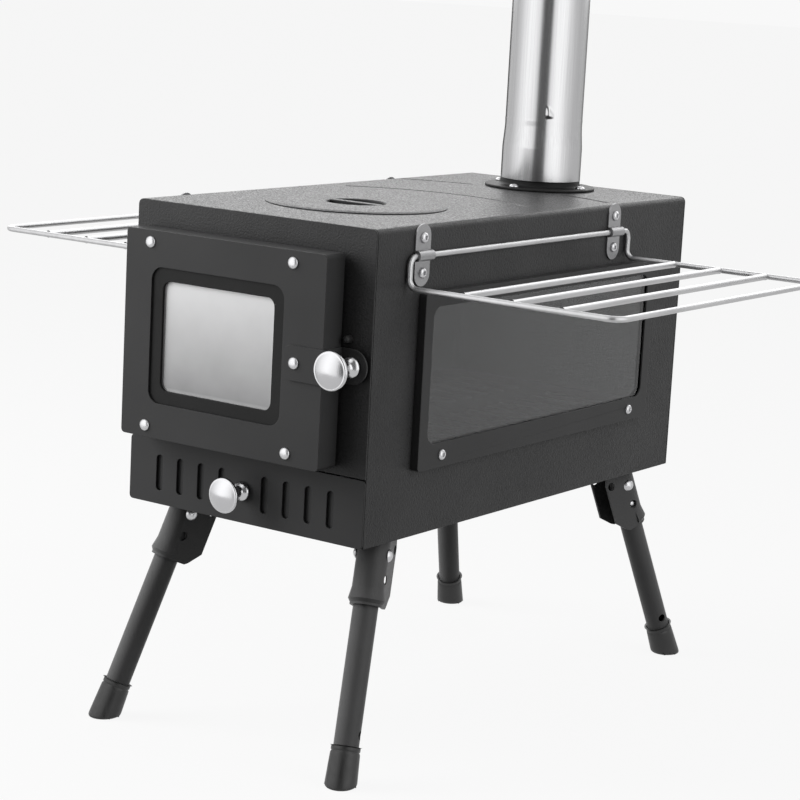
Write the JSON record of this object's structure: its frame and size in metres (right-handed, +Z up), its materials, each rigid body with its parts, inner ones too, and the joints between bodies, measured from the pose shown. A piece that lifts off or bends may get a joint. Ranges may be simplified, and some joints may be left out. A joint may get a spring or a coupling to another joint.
{
  "type": "tent wood stove",
  "caption": "Portable sheet-steel wood stove with a glazed door, ash drawer, glazed sides, folding side racks, folding legs and a plug-in flue pipe.",
  "frame": {"origin": "on the ground, under the middle of the whole stove's box", "axes": "+X to the right along the front, +Y from the front to the back, +Z up; the door and the drawer are at -Y"},
  "size_m": [0.522, 0.4582, 0.7002],
  "materials": {
    "black_coat": "matte black high-temperature powder coat",
    "dark_coat": "satin black",
    "stainless": "satin stainless",
    "polished": "polished",
    "stove_glass": "clear ceramic glass",
    "rope_seal": "woven glass rope",
    "foot_cap": "matte black"
  },
  "bodies": {
    "stove_body": {"body_shell": "black_coat", "front_panel": "black_coat", "back_panel": "black_coat", "base_pan": "black_coat", "fire_grate": "black_coat", "drawer_runners": "black_coat", "side_frame_left": "black_coat", "side_frame_right": "black_coat", "side_glass_left": "stove_glass", "side_glass_right": "stove_glass", "side_gasket_left": "rope_seal", "side_gasket_right": "rope_seal", "side_frame_screws": "polished", "flue_collar": "dark_coat", "flue_screws": "polished", "rack_clips": "stainless", "rack_clip_screws": "polished", "door_hinge_lugs": "black_coat", "latch_stop_stud": "stainless", "leg_bracket_fl": "black_coat", "leg_bracket_fr": "black_coat", "leg_bracket_bl": "black_coat", "leg_bracket_br": "black_coat", "leg_pivot_rivets": "polished", "leg_bracket_rivets": "stainless"},
    "door": {"door_pan": "black_coat", "door_border": "dark_coat", "door_glass": "stove_glass", "door_gasket": "rope_seal", "door_retainer": "black_coat", "door_rivets": "polished", "door_hinge_ears": "black_coat", "door_hinge_pins": "polished", "latch_strap": "black_coat", "latch_rivet": "polished"},
    "latch": {"latch_knob": "polished", "latch_spindle": "stainless"},
    "drawer": {"drawer_front": "black_coat", "ash_tray": "black_coat", "drawer_knob": "polished", "drawer_knob_screw": "stainless"},
    "lid": {"cooking_lid": "black_coat", "lid_lift_bar": "black_coat"},
    "pipe": {"flue_pipe": "stainless"},
    "rack_left": {"rack_left": "stainless"},
    "rack_right": {"rack_right": "stainless"},
    "leg_fl": {"leg_tube_fl": "black_coat", "leg_foot_fl": "foot_cap"},
    "lock_fl": {"leg_lock_fl": "polished"},
    "leg_fr": {"leg_tube_fr": "black_coat", "leg_foot_fr": "foot_cap"},
    "lock_fr": {"leg_lock_fr": "polished"},
    "leg_bl": {"leg_tube_bl": "black_coat", "leg_foot_bl": "foot_cap"},
    "lock_bl": {"leg_lock_bl": "polished"},
    "leg_br": {"leg_tube_br": "black_coat", "leg_foot_br": "foot_cap"},
    "lock_br": {"leg_lock_br": "polished"}
  },
  "joints": [
    {"name": "door_hinge", "type": "hinge", "parent": "stove_body", "child": "door", "pos_m": [-0.0835, -0.21036, 0.276], "axis": [0, 0, -1], "range_deg": [0, 110]},
    {"name": "latch_turn", "type": "hinge", "parent": "door", "child": "latch", "pos_m": [0.0885, -0.19736, 0.274], "axis": [0, 1, 0], "range_deg": [0, 90]},
    {"name": "drawer_slide", "type": "slide", "parent": "stove_body", "child": "drawer", "axis": [0, -1, 0], "range_m": [0, 0.3]},
    {"name": "lid_lift", "type": "slide", "parent": "stove_body", "child": "lid", "axis": [0, 0, 1], "range_m": [0, 0.04]},
    {"name": "pipe_pull", "type": "slide", "parent": "stove_body", "child": "pipe", "axis": [0, 0, 1], "range_m": [0, 0.06]},
    {"name": "rack_left_fold", "type": "hinge", "parent": "stove_body", "child": "rack_left", "pos_m": [-0.1023, -0.02436, 0.3435], "axis": [0, 1, 0], "range_deg": [0, 130]},
    {"name": "rack_right_fold", "type": "hinge", "parent": "stove_body", "child": "rack_right", "pos_m": [0.1023, -0.02436, 0.3435], "axis": [0, -1, 0], "range_deg": [0, 130]},
    {"name": "leg_fl_fold", "type": "hinge", "parent": "stove_body", "child": "leg_fl", "pos_m": [-0.082, -0.15886, 0.1425], "axis": [0.9272, -0.3746, 0], "range_deg": [0, 112]},
    {"name": "leg_fl_lock", "type": "slide", "parent": "leg_fl", "child": "lock_fl", "axis": [0.9272, -0.3746, 0], "range_m": [0, 0.002], "stiffness_N_per_m": 500},
    {"name": "leg_fr_fold", "type": "hinge", "parent": "stove_body", "child": "leg_fr", "pos_m": [0.082, -0.15886, 0.1425], "axis": [0.9272, 0.3746, 0], "range_deg": [0, 112]},
    {"name": "leg_fr_lock", "type": "slide", "parent": "leg_fr", "child": "lock_fr", "axis": [-0.9272, -0.3746, 0], "range_m": [0, 0.002], "stiffness_N_per_m": 500},
    {"name": "leg_bl_fold", "type": "hinge", "parent": "stove_body", "child": "leg_bl", "pos_m": [-0.082, 0.16414, 0.1425], "axis": [-0.9272, -0.3746, 0], "range_deg": [0, 112]},
    {"name": "leg_bl_lock", "type": "slide", "parent": "leg_bl", "child": "lock_bl", "axis": [0.9272, 0.3746, 0], "range_m": [0, 0.002], "stiffness_N_per_m": 500},
    {"name": "leg_br_fold", "type": "hinge", "parent": "stove_body", "child": "leg_br", "pos_m": [0.082, 0.16414, 0.1425], "axis": [-0.9272, 0.3746, 0], "range_deg": [0, 112]},
    {"name": "leg_br_lock", "type": "slide", "parent": "leg_br", "child": "lock_br", "axis": [-0.9272, 0.3746, 0], "range_m": [0, 0.002], "stiffness_N_per_m": 500}
  ]
}
